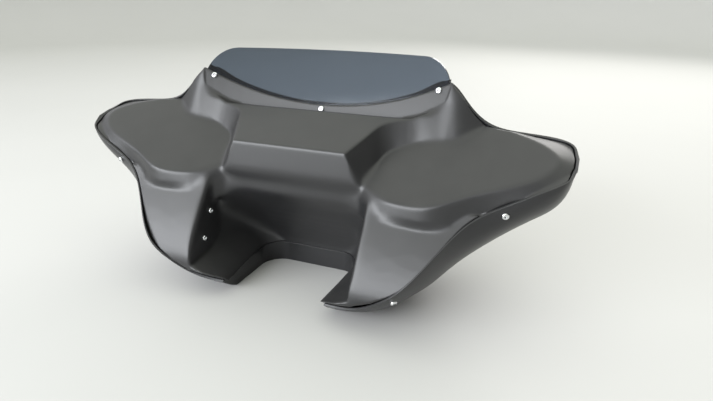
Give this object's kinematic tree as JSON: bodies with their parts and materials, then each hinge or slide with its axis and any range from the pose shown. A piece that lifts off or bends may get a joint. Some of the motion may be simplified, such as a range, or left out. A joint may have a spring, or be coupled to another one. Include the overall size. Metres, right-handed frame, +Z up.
{
  "type": "motorcycle fairing",
  "caption": "Handlebar fairing with swept wings, flat pods, a dash panel, a fork slot and a smoked windshield.",
  "frame": {"origin": "on the bench under the middle of the part", "axes": "+X to the right, +Y forward away from the rider, +Z up"},
  "size_m": [0.88, 0.3085, 0.393],
  "materials": {
    "outer_plastic": "satin black moulded plastic",
    "inner_plastic": "satin black moulded plastic",
    "smoked_acrylic": "dark smoked acrylic sheet",
    "screw_chrome": "polished",
    "nut_steel": "zinc plated"
  },
  "bodies": {
    "root": {"outer_shell": "outer_plastic", "inner_fairing": "inner_plastic", "windshield": "smoked_acrylic", "windshield_screws": "screw_chrome", "windshield_nuts": "nut_steel", "rim_screws": "screw_chrome", "rim_nuts": "nut_steel", "bracket_screws": "screw_chrome", "bracket_washers": "nut_steel", "bracket_nuts": "nut_steel"}
  },
  "joints": []
}
